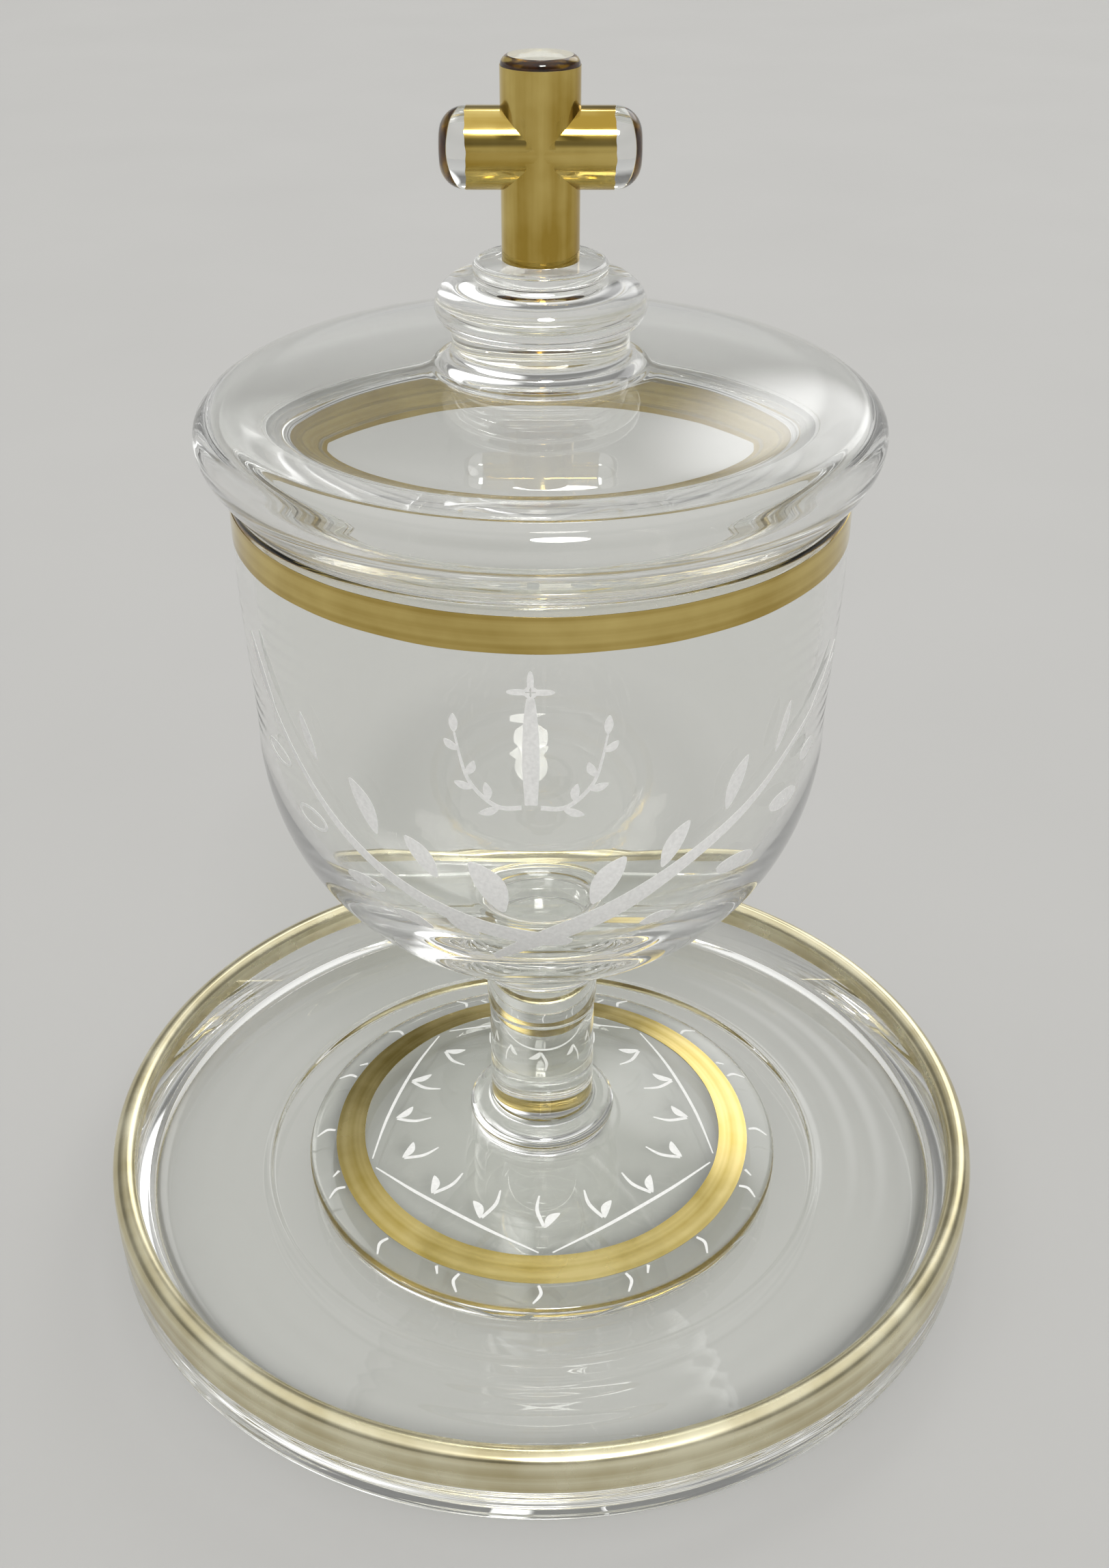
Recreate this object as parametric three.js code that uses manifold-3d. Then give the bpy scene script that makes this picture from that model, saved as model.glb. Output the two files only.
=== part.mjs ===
// Covered glass cup for altar use, with a cross finial, standing on its own glass saucer.
// Millimetres, +Z up. The origin is on the common axis, at the underside of the saucer.
// Each vessel has its own group, whose zero height is the face that it stands or rests on.
// Glass drawn or gathered separately is a piece of its own, and each piece ends on a flat face.

import * as THREE from 'three';
import { mergeVertices } from 'three/addons/utils/BufferGeometryUtils.js';
import Module from 'manifold-3d';

// Facets round the axis
const WIDE_SEGMENTS = 40;
const NARROW_SEGMENTS = 24;

// Facets along a profile: a small rounding, a fillet or fold, and the long curve of the cup
const ROUNDING_STEPS = 3;
const FILLET_STEPS = 4;
const FOLD_STEPS = 6;
const CUP_STEPS = 11;

// Fired gilding: a thin skin that lies just clear of the glass
const GILT_THICKNESS = 0.12;
const GILT_CLEARANCE = 0.03;

// A vessel lies this far above the one that carries it
const REST_CLEARANCE = 0.02;

// Saucer
const SAUCER_RADIUS = 54;
const SAUCER_HEIGHT = 10.2;
const SAUCER_LIP_THICKNESS = 2.8;
const SAUCER_FLOOR_THICKNESS = 3;
const SAUCER_WELL_CLEARANCE = 4.5;
const SAUCER_WELL_DEPTH = 0.5;
const SAUCER_WELL_STEP = 1.8;
const SAUCER_WALL_FOOTING = 6.6;
const SAUCER_FLOOR_FILLET = 2.2;
const SAUCER_WALL_LEAN = 20;
const SAUCER_BASE_RADIUS = 34.5;
const SAUCER_UNDERSIDE_RISE = 0.3;
const SAUCER_CORNER_RADIUS = 0.8;
const SAUCER_GILT_DEPTH = 5;

// Goblet foot
const FOOT_RADIUS = 29.9;
const FOOT_HEIGHT = 6.75;
const FOOT_EDGE_HEIGHT = 1.76;
const FOOT_EDGE_ROUNDING = 0.9;
const FOOT_EDGE_TURN = 72;
const FOOT_STANDING_WIDTH = 4.9;
const FOOT_KICK_HEIGHT = 0.75;
const FOOT_RING_INSET = 3.4;
const FOOT_RING_WIDTH = 3.8;
const FOOT_RING_HEIGHT = 3.2;
const FOOT_RING_SLOPE = 0.18;
const FOOT_TOP_RADIUS = 8.25;
const FOOT_TOP_SPLAY = 1.8;
const FOOT_TOP_SPLAY_RISE = 0.9;

// Goblet stem, above the foot
const COLLAR_RADIUS = 9.1;
const COLLAR_END_RADIUS = 7.6;
const COLLAR_HEIGHT = 2.75;
const LOWER_STEM_RADIUS = 6.4;
const LOWER_STEM_LENGTH = 15.5;
const LOWER_STEM_SPLAY = 0.6;
const LOWER_STEM_SPLAY_RISE = 1.2;
const UPPER_STEM_RADIUS = 6.65;
const UPPER_STEM_LENGTH = 8;

// Bowl: an elliptical cup under a wall that opens by its flare towards the rim
const BOWL_RIM_RADIUS = 31.75;
const BOWL_FLARE = 0.75;
const BOWL_CUP_DEPTH = 30.3;
const BOWL_WALL_HEIGHT = 28;
const BOWL_FLARE_HEIGHT = 20;
const BOWL_WALL_THICKNESS = 1.75;
const BOWL_BOTTOM_THICKNESS = 3.8;
const BOWL_STEM_FILLET = 2.6;
const BOWL_STUB_LENGTH = 1;
const BOWL_RIM_ROUNDING = 0.5;
const BOWL_BAND_WIDTH = 3.8;
const BOWL_BAND_DROP = 0.9;

// Lid shell, heights above the bowl's rim; a handle is how far a curve runs on before it bends
const LID_LIP_OVERHANG = 0.15;
const LID_LIP_ROUNDING = 0.4;
const LID_LIP_LEAN = 0.7;
const LID_LIP_HANDLE = 1;
const LID_BULGE = 2.8;
const LID_BULGE_HEIGHT = 5.5;
const LID_BULGE_LOWER_HANDLE = 2.2;
const LID_BULGE_UPPER_HANDLE = 2.5;
const LID_SHOULDER_INSET = 7.7;
const LID_SHOULDER_HEIGHT = 10.2;
const LID_SHOULDER_HANDLE = 4.8;
const LID_SHOULDER_FALL = 0.85;
const LID_TOP_MARGIN = 0.4;
const LID_TOP_HEIGHT = 11.75;
const LID_TOP_HANDLE = 5.5;
const LID_TOP_FALL = 0.2;
const LID_WALL_THICKNESS = 1.8;
const LID_SEAT_THICKNESS = 1.6;
const LID_FLANGE_DEPTH = 3;
const LID_FLANGE_THICKNESS = 1.3;
const LID_FLANGE_CLEARANCE = 0.6;

// Knop on the lid
const NECK_RADIUS = 8.8;
const NECK_LENGTH = 3.75;
const NECK_SPLAY = 1.8;
const KNOP_RADIUS = 10.4;
const KNOP_HEIGHT = 4.5;
const KNOP_EQUATOR_HEIGHT = 1.7;
const KNOP_SHOULDER = 3.4;
const DISC_RADIUS = 6.6;
const DISC_HEIGHT = 1.5;
const DISC_ROUNDING = 0.4;

// Cross finial, two equal round glass bars
const BAR_RADIUS = 3.7;
const UPRIGHT_LENGTH = 18.5;
const UPRIGHT_END_ROUNDING = 0.9;
const ARM_REACH = 9.45;
const ARM_HEIGHT = 10.3;
const ARM_END_ROUNDING = 2.4;
const ARM_SEAT_CLEARANCE = 0.3;

// Radii that follow from the sizes above
const saucerWellRadius = FOOT_RADIUS + SAUCER_WELL_CLEARANCE;
const footRingOuter = FOOT_RADIUS - FOOT_RING_INSET;
const footRingInner = footRingOuter - FOOT_RING_WIDTH;
const bowlCupRadius = BOWL_RIM_RADIUS - BOWL_FLARE;
const bowlInnerRimRadius = BOWL_RIM_RADIUS - BOWL_WALL_THICKNESS;
const flangeOuterRadius = bowlInnerRimRadius - LID_FLANGE_CLEARANCE;
const flangeInnerRadius = flangeOuterRadius - LID_FLANGE_THICKNESS;
const lidLipRadius = BOWL_RIM_RADIUS + LID_LIP_OVERHANG;
const lidRadius = lidLipRadius + LID_BULGE;
const lidTopRadius = NECK_RADIUS + NECK_SPLAY + LID_TOP_MARGIN;

// Heights that follow from them, each in its own vessel's group
const footRingTop = FOOT_RING_HEIGHT + FOOT_RING_WIDTH * FOOT_RING_SLOPE;
const lowerStemHeight = FOOT_HEIGHT + COLLAR_HEIGHT;
const upperStemHeight = lowerStemHeight + LOWER_STEM_LENGTH;
const bowlHeight = upperStemHeight + UPPER_STEM_LENGTH;
const neckHeight = LID_TOP_HEIGHT;
const knopHeight = neckHeight + NECK_LENGTH;
const discHeight = knopHeight + KNOP_HEIGHT;
const finialHeight = discHeight + DISC_HEIGHT;
const crossTop = finialHeight + UPRIGHT_LENGTH;

// Points of an elliptical arc in the (radius, height) plane, angles in degrees
function arc(radius, height, acrossRadius, alongRadius, from, to, steps) {
  const points = [];
  for (let step = 0; step <= steps; step += 1) {
    const angle = THREE.MathUtils.degToRad(from + ((to - from) * step) / steps);
    points.push([radius + acrossRadius * Math.cos(angle), height + alongRadius * Math.sin(angle)]);
  }
  return points;
}

// Points of a cubic curve between two points of the (radius, height) plane, its first point left out
function curve(start, startHandle, endHandle, end, steps) {
  const path = new THREE.CubicBezierCurve(
    new THREE.Vector2(...start),
    new THREE.Vector2(...startHandle),
    new THREE.Vector2(...endHandle),
    new THREE.Vector2(...end),
  );
  return path.getPoints(steps).slice(1).map((point) => [point.x, point.y]);
}

// A stem's concave foot, from the face that it spreads on up to its own radius
function splay(radius, height, reach, rise) {
  return arc(radius + reach, height + rise, reach, rise, 270, 180, FILLET_STEPS);
}

// Turns a profile of [radius, height] points about +Z
function turned(profile, segments) {
  const points = profile.map(([radius, height]) => new THREE.Vector2(radius, height));
  return new THREE.LatheGeometry(points, segments).rotateX(Math.PI / 2);
}

// A ring from an inner and an outer path, both listed from their first end to their last
function turnedRing(outer, inner, segments) {
  const loop = [...outer, ...inner.slice().reverse()];
  return turned([...loop, loop[0]], segments);
}

// Booleans
const wasm = await Module();
wasm.setup();

function solid(geometry) {
  const bare = geometry.clone();
  bare.deleteAttribute('normal');
  bare.deleteAttribute('uv');
  const merged = mergeVertices(bare, 1e-4);
  const index = merged.index.array;
  const triangles = [];
  for (let corner = 0; corner < index.length; corner += 3) {
    const [a, b, c] = [index[corner], index[corner + 1], index[corner + 2]];
    if (a !== b && b !== c && c !== a) {
      triangles.push(a, b, c);
    }
  }
  return new wasm.Manifold(new wasm.Mesh({
    numProp: 3,
    vertProperties: new Float32Array(merged.attributes.position.array),
    triVerts: new Uint32Array(triangles),
  }));
}

function surface(manifold) {
  const mesh = manifold.getMesh();
  const geometry = new THREE.BufferGeometry();
  geometry.setAttribute('position', new THREE.BufferAttribute(mesh.vertProperties, 3));
  geometry.setIndex(new THREE.BufferAttribute(mesh.triVerts, 1));
  geometry.computeVertexNormals();
  return geometry;
}

// Materials
function glass(name) {
  return new THREE.MeshStandardMaterial({
    name, color: 0xe9ece4, roughness: 0.04, metalness: 0, transparent: true, opacity: 0.35,
  });
}

const clearGlass = glass('clear_glass');
const gilding = new THREE.MeshStandardMaterial({
  name: 'gilding', color: 0xb8a052, roughness: 0.28, metalness: 1,
});

function piece(name, geometry, material) {
  const mesh = new THREE.Mesh(geometry, material);
  mesh.name = name;
  return mesh;
}

// Saucer, whose round lip and its gilding share their facets
const LIP_FACET_DEGREES = 30;
const LIP_FACETS = 6;
const GILDED_LIP_FACETS = 5;
const lipRadius = SAUCER_LIP_THICKNESS / 2;
const lipCentreRadius = SAUCER_RADIUS - lipRadius;
const lipCentreHeight = SAUCER_HEIGHT - lipRadius;

function lipArc(radius, facets) {
  return arc(lipCentreRadius, lipCentreHeight, radius, radius, 0, facets * LIP_FACET_DEGREES, facets);
}

function saucerDish() {
  const corner = SAUCER_CORNER_RADIUS;
  const cornerRadius = SAUCER_RADIUS - corner;
  const cornerHeight = SAUCER_UNDERSIDE_RISE + corner;
  const fillet = SAUCER_FLOOR_FILLET;
  const floorRadius = SAUCER_RADIUS - SAUCER_WALL_FOOTING;
  const ledge = SAUCER_FLOOR_THICKNESS + SAUCER_WELL_DEPTH;
  const filletHeight = ledge + fillet;
  const stepRadius = saucerWellRadius + SAUCER_WELL_STEP;
  return turned([
    [0, 0],
    [SAUCER_BASE_RADIUS, 0],
    ...arc(cornerRadius, cornerHeight, corner, corner, -90, 0, ROUNDING_STEPS),
    ...lipArc(lipRadius, LIP_FACETS),
    ...arc(floorRadius, filletHeight, fillet, fillet, -SAUCER_WALL_LEAN, -90, FILLET_STEPS),
    [stepRadius, ledge],
    ...curve(
      [stepRadius, ledge],
      [stepRadius - SAUCER_WELL_STEP / 2, ledge],
      [saucerWellRadius + SAUCER_WELL_STEP / 2, SAUCER_FLOOR_THICKNESS],
      [saucerWellRadius, SAUCER_FLOOR_THICKNESS],
      FILLET_STEPS,
    ),
    [0, SAUCER_FLOOR_THICKNESS],
  ], WIDE_SEGMENTS);
}

function saucerGiltRim() {
  const path = (offset) => [
    [SAUCER_RADIUS + offset, SAUCER_HEIGHT - SAUCER_GILT_DEPTH],
    ...lipArc(lipRadius + offset, GILDED_LIP_FACETS),
  ];
  return turnedRing(path(GILT_CLEARANCE + GILT_THICKNESS), path(GILT_CLEARANCE), WIDE_SEGMENTS);
}

// Goblet
function gobletFoot() {
  const edge = FOOT_EDGE_ROUNDING;
  const edgeRadius = FOOT_RADIUS - edge;
  const kickRadius = FOOT_RADIUS - FOOT_STANDING_WIDTH;
  const splayHeight = FOOT_HEIGHT - FOOT_TOP_SPLAY_RISE;
  return turned([
    [0, FOOT_KICK_HEIGHT],
    ...arc(0, 0, kickRadius, FOOT_KICK_HEIGHT, 90, 0, ROUNDING_STEPS).slice(1),
    ...arc(edgeRadius, edge, edge, edge, -90, 0, ROUNDING_STEPS),
    ...arc(edgeRadius, FOOT_EDGE_HEIGHT, edge, edge, 0, FOOT_EDGE_TURN, ROUNDING_STEPS),
    [footRingOuter, FOOT_RING_HEIGHT],
    [footRingInner, footRingTop],
    ...splay(FOOT_TOP_RADIUS, splayHeight, FOOT_TOP_SPLAY, FOOT_TOP_SPLAY_RISE),
    [0, FOOT_HEIGHT],
  ], WIDE_SEGMENTS);
}

function footGiltRing() {
  const path = (offset) => [
    [footRingOuter, FOOT_RING_HEIGHT + offset],
    [footRingInner, footRingTop + offset],
  ];
  return turnedRing(path(GILT_CLEARANCE + GILT_THICKNESS), path(GILT_CLEARANCE), WIDE_SEGMENTS);
}

function stemCollar() {
  const bulge = COLLAR_RADIUS - COLLAR_END_RADIUS;
  const half = COLLAR_HEIGHT / 2;
  return turned([
    [0, FOOT_HEIGHT],
    ...arc(COLLAR_END_RADIUS, FOOT_HEIGHT + half, bulge, half, -90, 90, 2 * FILLET_STEPS),
    [0, lowerStemHeight],
  ], NARROW_SEGMENTS);
}

function lowerStem() {
  return turned([
    [0, lowerStemHeight],
    ...splay(LOWER_STEM_RADIUS, lowerStemHeight, LOWER_STEM_SPLAY, LOWER_STEM_SPLAY_RISE),
    [LOWER_STEM_RADIUS, upperStemHeight],
    [0, upperStemHeight],
  ], NARROW_SEGMENTS);
}

function upperStem() {
  return turned([
    [0, upperStemHeight],
    [UPPER_STEM_RADIUS, upperStemHeight],
    [UPPER_STEM_RADIUS, bowlHeight],
    [0, bowlHeight],
  ], NARROW_SEGMENTS);
}

// The cup starts where the fillet from the bowl's stub meets its curve
const cupFilletRadius = UPPER_STEM_RADIUS + BOWL_STEM_FILLET;
const cupFilletAngle = Math.asin(cupFilletRadius / bowlCupRadius);
const cupFilletTop = bowlHeight + BOWL_STUB_LENGTH + BOWL_STEM_FILLET;
const cupHeight = cupFilletTop + BOWL_CUP_DEPTH * Math.cos(cupFilletAngle);
const rimHeight = cupHeight + BOWL_WALL_HEIGHT;

// One side of the wall, from the cup's edge up to where it runs straight
function bowlWall(cupRadius, rimRadius) {
  const flareHeight = cupHeight + BOWL_FLARE_HEIGHT;
  const handle = BOWL_FLARE_HEIGHT / 3;
  const start = [cupRadius, cupHeight];
  const end = [rimRadius, flareHeight];
  return [
    start,
    ...curve(start, [cupRadius, cupHeight + handle], [rimRadius, flareHeight - handle], end, ROUNDING_STEPS),
  ];
}

function gobletBowl() {
  const innerCupRadius = bowlCupRadius - BOWL_WALL_THICKNESS;
  const innerCupDepth = BOWL_CUP_DEPTH - BOWL_BOTTOM_THICKNESS;
  const filletCentre = bowlHeight + BOWL_STUB_LENGTH;
  const filletDegrees = THREE.MathUtils.radToDeg(cupFilletAngle);
  const fillet = BOWL_STEM_FILLET;
  const rounding = BOWL_RIM_ROUNDING;
  const roundingHeight = rimHeight - rounding;
  return turned([
    [0, bowlHeight],
    [UPPER_STEM_RADIUS, bowlHeight],
    ...arc(cupFilletRadius, filletCentre, fillet, fillet, 180, 90, FILLET_STEPS),
    ...arc(0, cupHeight, bowlCupRadius, BOWL_CUP_DEPTH, filletDegrees - 90, 0, CUP_STEPS).slice(1, -1),
    ...bowlWall(bowlCupRadius, BOWL_RIM_RADIUS),
    ...arc(BOWL_RIM_RADIUS - rounding, roundingHeight, rounding, rounding, 0, 90, ROUNDING_STEPS),
    ...arc(bowlInnerRimRadius + rounding, roundingHeight, rounding, rounding, 90, 180, ROUNDING_STEPS),
    ...bowlWall(innerCupRadius, bowlInnerRimRadius).reverse(),
    ...arc(0, cupHeight, innerCupRadius, innerCupDepth, 0, -90, CUP_STEPS).slice(1, -1),
    [0, cupHeight - innerCupDepth],
  ], WIDE_SEGMENTS);
}

function bowlGiltBand() {
  const top = rimHeight - BOWL_BAND_DROP;
  const path = (offset) => [
    [BOWL_RIM_RADIUS + offset, top - BOWL_BAND_WIDTH],
    [BOWL_RIM_RADIUS + offset, top],
  ];
  return turnedRing(path(GILT_CLEARANCE + GILT_THICKNESS), path(GILT_CLEARANCE), WIDE_SEGMENTS);
}

// Lid
// The dome from its widest ring up to its flat top, moved in and down by a wall
function lidDome(wall) {
  const widest = lidRadius - wall;
  const shoulderHeight = LID_SHOULDER_HEIGHT - wall;
  const topHeight = LID_TOP_HEIGHT - wall;
  const shoulderRadius = lidRadius - LID_SHOULDER_INSET;
  const start = [widest, LID_BULGE_HEIGHT];
  const shoulder = [shoulderRadius, shoulderHeight];
  const end = [lidTopRadius, topHeight];
  return [
    start,
    ...curve(
      start,
      [widest, LID_BULGE_HEIGHT + LID_BULGE_UPPER_HANDLE],
      [shoulderRadius + LID_SHOULDER_HANDLE, shoulderHeight - LID_SHOULDER_FALL],
      shoulder,
      FOLD_STEPS,
    ),
    ...curve(
      shoulder,
      [shoulderRadius - LID_SHOULDER_HANDLE, shoulderHeight + LID_SHOULDER_FALL],
      [lidTopRadius + LID_TOP_HANDLE, topHeight - LID_TOP_FALL],
      end,
      FILLET_STEPS,
    ),
  ];
}

function lidShell() {
  const wall = LID_WALL_THICKNESS;
  const innerRadius = lidRadius - wall;
  const lip = LID_LIP_ROUNDING;
  const bulgeFoot = LID_BULGE_HEIGHT - LID_BULGE_LOWER_HANDLE;
  return turned([
    [0, LID_TOP_HEIGHT - wall],
    ...lidDome(wall).reverse(),
    ...curve(
      [innerRadius, LID_BULGE_HEIGHT],
      [innerRadius, bulgeFoot],
      [flangeInnerRadius + LID_SEAT_THICKNESS, LID_SEAT_THICKNESS],
      [flangeInnerRadius, LID_SEAT_THICKNESS / 2],
      FILLET_STEPS,
    ),
    [flangeInnerRadius, -LID_FLANGE_DEPTH],
    [flangeOuterRadius, -LID_FLANGE_DEPTH],
    [flangeOuterRadius, 0],
    ...arc(lidLipRadius - lip, lip, lip, lip, -90, 0, ROUNDING_STEPS),
    ...curve(
      [lidLipRadius, lip],
      [lidLipRadius + LID_LIP_LEAN, lip + LID_LIP_HANDLE],
      [lidRadius, bulgeFoot],
      [lidRadius, LID_BULGE_HEIGHT],
      FOLD_STEPS,
    ),
    ...lidDome(0).slice(1),
    [0, LID_TOP_HEIGHT],
  ], WIDE_SEGMENTS);
}

function lidNeck() {
  return turned([
    [0, neckHeight],
    ...splay(NECK_RADIUS, neckHeight, NECK_SPLAY, NECK_SPLAY),
    [NECK_RADIUS, knopHeight],
    [0, knopHeight],
  ], NARROW_SEGMENTS);
}

function lidKnop() {
  const equator = knopHeight + KNOP_EQUATOR_HEIGHT;
  const footing = KNOP_RADIUS - NECK_RADIUS;
  const shoulderRadius = KNOP_RADIUS - KNOP_SHOULDER;
  return turned([
    [0, knopHeight],
    ...arc(NECK_RADIUS, equator, footing, KNOP_EQUATOR_HEIGHT, -90, 0, FILLET_STEPS),
    ...arc(shoulderRadius, equator, KNOP_SHOULDER, discHeight - equator, 0, 90, FOLD_STEPS).slice(1),
    [0, discHeight],
  ], NARROW_SEGMENTS);
}

function lidDisc() {
  const edge = DISC_ROUNDING;
  return turned([
    [0, discHeight],
    ...arc(DISC_RADIUS - edge, discHeight + edge, edge, edge, -90, 0, ROUNDING_STEPS),
    ...arc(DISC_RADIUS - edge, finialHeight - edge, edge, edge, 0, 90, ROUNDING_STEPS),
    [0, finialHeight],
  ], NARROW_SEGMENTS);
}

// A round bar along +Z between two heights, with both ends square
function bar(radius, start, end) {
  return turned([[0, start], [radius, start], [radius, end], [0, end]], NARROW_SEGMENTS);
}

// The same bar with its far end rounded over
function roundedBar(radius, start, end, rounding) {
  const side = arc(radius - rounding, end - rounding, rounding, rounding, 0, 90, FILLET_STEPS);
  return turned([[0, start], [radius, start], ...side, [0, end]], NARROW_SEGMENTS);
}

function crossUpright() {
  return roundedBar(BAR_RADIUS, finialHeight, crossTop, UPRIGHT_END_ROUNDING);
}

// Lays a +Z bar along X, to the side given by the sign, at the height of the cross's arms
function laid(geometry, side) {
  return geometry.rotateY((side * Math.PI) / 2).translate(0, 0, finialHeight + ARM_HEIGHT);
}

function crossArm(side) {
  const arm = solid(laid(roundedBar(BAR_RADIUS, 0, ARM_REACH, ARM_END_ROUNDING), side));
  const seat = solid(bar(BAR_RADIUS + ARM_SEAT_CLEARANCE, finialHeight, crossTop));
  return surface(arm.subtract(seat));
}

// The gilding is a sleeve round both bars that leaves the rounded ends clear
function crossGilding() {
  const start = finialHeight + GILT_CLEARANCE;
  const top = crossTop - UPRIGHT_END_ROUNDING;
  const reach = ARM_REACH - ARM_END_ROUNDING;
  const sleeve = (radius, overrun) => {
    const upright = solid(bar(radius, start - overrun, top + overrun));
    const crossbar = solid(laid(bar(radius, -reach - overrun, reach + overrun), 1));
    return upright.add(crossbar);
  };
  const innerRadius = BAR_RADIUS + GILT_CLEARANCE;
  const outside = sleeve(innerRadius + GILT_THICKNESS, 0);
  return surface(outside.subtract(sleeve(innerRadius, BAR_RADIUS)));
}

// The three vessels, each standing on the one below
const saucer = new THREE.Group();
saucer.add(
  piece('saucer_dish', saucerDish(), clearGlass),
  piece('saucer_gilt_rim', saucerGiltRim(), gilding),
);

const goblet = new THREE.Group();
goblet.position.z = SAUCER_FLOOR_THICKNESS + REST_CLEARANCE;
goblet.add(
  piece('goblet_foot', gobletFoot(), clearGlass),
  piece('foot_gilt_ring', footGiltRing(), gilding),
  piece('stem_collar', stemCollar(), clearGlass),
  piece('lower_stem', lowerStem(), clearGlass),
  piece('upper_stem', upperStem(), clearGlass),
  piece('goblet_bowl', gobletBowl(), clearGlass),
  piece('bowl_gilt_band', bowlGiltBand(), gilding),
);

const lid = new THREE.Group();
lid.position.z = goblet.position.z + rimHeight + REST_CLEARANCE;
lid.add(
  piece('lid_shell', lidShell(), clearGlass),
  piece('lid_neck', lidNeck(), clearGlass),
  piece('lid_knop', lidKnop(), clearGlass),
  piece('lid_disc', lidDisc(), clearGlass),
  piece('cross_upright', crossUpright(), clearGlass),
  piece('cross_arm_right', crossArm(1), clearGlass),
  piece('cross_arm_left', crossArm(-1), clearGlass),
  piece('cross_gilding', crossGilding(), gilding),
);

const cup = new THREE.Group();
cup.add(saucer, goblet, lid);

export default cup;
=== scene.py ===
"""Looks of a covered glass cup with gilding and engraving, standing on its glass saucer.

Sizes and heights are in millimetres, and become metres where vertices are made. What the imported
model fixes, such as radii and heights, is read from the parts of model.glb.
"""

import math

import bmesh
import bpy
from mathutils import Matrix, Vector


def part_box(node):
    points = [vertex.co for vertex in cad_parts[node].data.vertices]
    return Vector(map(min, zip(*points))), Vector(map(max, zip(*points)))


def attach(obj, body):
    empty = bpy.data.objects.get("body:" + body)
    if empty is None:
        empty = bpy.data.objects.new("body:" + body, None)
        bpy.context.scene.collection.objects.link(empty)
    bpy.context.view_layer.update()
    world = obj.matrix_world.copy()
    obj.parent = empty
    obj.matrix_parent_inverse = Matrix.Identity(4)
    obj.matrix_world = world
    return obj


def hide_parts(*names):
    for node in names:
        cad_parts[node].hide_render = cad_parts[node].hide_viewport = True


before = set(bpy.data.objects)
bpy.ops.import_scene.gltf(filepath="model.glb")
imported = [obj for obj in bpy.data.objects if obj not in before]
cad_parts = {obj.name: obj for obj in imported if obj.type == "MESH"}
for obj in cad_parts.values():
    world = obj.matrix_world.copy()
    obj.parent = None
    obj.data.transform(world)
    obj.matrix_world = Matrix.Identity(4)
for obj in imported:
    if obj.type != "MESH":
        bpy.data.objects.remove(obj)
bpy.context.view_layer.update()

MM = 0.001
TURNS = 192  # faces round every turned body
ON_AXIS = 1e-6  # a profile point with a smaller radius is one vertex on the axis
SHARP_ANGLE = math.radians(38)
SLIVER = 2e-6  # metres: edges this short, which a boolean leaves, are closed up
AT_EDGE = 0.01  # a point this near an edge of the gilding belongs to it
LEVEL = 0.98  # the least upward part of the normal of a level face

# Straight stretches of a profile: the longest step, the support loop beside each end, and the
# length above which a stretch has them
LONG_STEP = 3.0
LOOP_STEP = 0.12
LOOPED_LENGTH = 10 * LOOP_STEP

# Saucer
SAUCER_LIP = 2.8
SAUCER_FLOOR = 3.0
SAUCER_LEDGE = 3.5
SAUCER_WELL_CLEARANCE = 4.5
SAUCER_WELL_STEP = 1.8
SAUCER_WELL_BEAD = 0.2
SAUCER_WALL_FOOTING = 6.6
SAUCER_FILLET = 2.2
SAUCER_WALL_LEAN = 20
SAUCER_BASE_RADIUS = 34.5
SAUCER_UNDERSIDE_RISE = 0.3
SAUCER_CORNER = 0.8
SAUCER_RIPPLES = 3
SAUCER_RIPPLE_STEPS = 40
SAUCER_RIPPLE_HEIGHT = 0.03

# Goblet
FOOT_EDGE_HEIGHT = 1.76
FOOT_EDGE = 0.9
FOOT_EDGE_TURN = 72
FOOT_STANDING_WIDTH = 4.9
FOOT_KICK_HEIGHT = 0.75
FOOT_RING_INSET = 3.4
FOOT_RING_WIDTH = 3.8
FOOT_RING_HEIGHT = 3.2
FOOT_RING_SLOPE = 0.18
FOOT_TOP_RADIUS = 8.25
FOOT_TOP_SPLAY = 1.8
FOOT_TOP_SPLAY_RISE = 0.9
COLLAR_END_RADIUS = 7.6
LOWER_STEM_SPLAY = 0.6
LOWER_STEM_SPLAY_RISE = 1.2
STEM_JOINT = 0.3
BOWL_FLARE = 0.75
BOWL_FLARE_HEIGHT = 20.0
BOWL_WALL_HEIGHT = 28.0
BOWL_CUP_DEPTH = 30.3
BOWL_WALL = 1.75
BOWL_BOTTOM = 3.8
BOWL_STEM_FILLET = 2.6
BOWL_STUB = 1.0
BOWL_RIM_ROUNDING = 0.6

# Lid
LID_LIP_OVERHANG = 0.15
LID_LIP_ROUNDING = 0.4
LID_LIP_LEAN = 0.7
LID_LIP_HANDLE = 1.0
LID_BULGE_HEIGHT = 5.5
LID_BULGE_LOWER_HANDLE = 2.2
LID_BULGE_UPPER_HANDLE = 2.5
LID_SHOULDER_INSET = 7.7
LID_SHOULDER_HEIGHT = 10.2
LID_SHOULDER_HANDLE = 4.8
LID_SHOULDER_FALL = 0.85
LID_TOP_RADIUS = 11.0
LID_TOP_HANDLE = 5.5
LID_TOP_FALL = 0.2
LID_WALL = 1.8
LID_SEAT = 1.6
LID_FLANGE_DEPTH = 3.0
LID_FLANGE = 1.3
LID_FLANGE_CLEARANCE = 0.6
LID_FLANGE_ROUNDING = 0.4
NECK_RADIUS = 8.8
NECK_SPLAY = 1.8
KNOP_EQUATOR = 1.7
KNOP_SHOULDER = 3.4
DISC_ROUNDING = 0.55
UPRIGHT_ROUNDING = 0.9
ARM_ROUNDING = 2.4
ARM_HEIGHT = 10.3
ARM_SADDLE = 0.01  # the arms are thinner than the upright by this, so that no faces coincide

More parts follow.
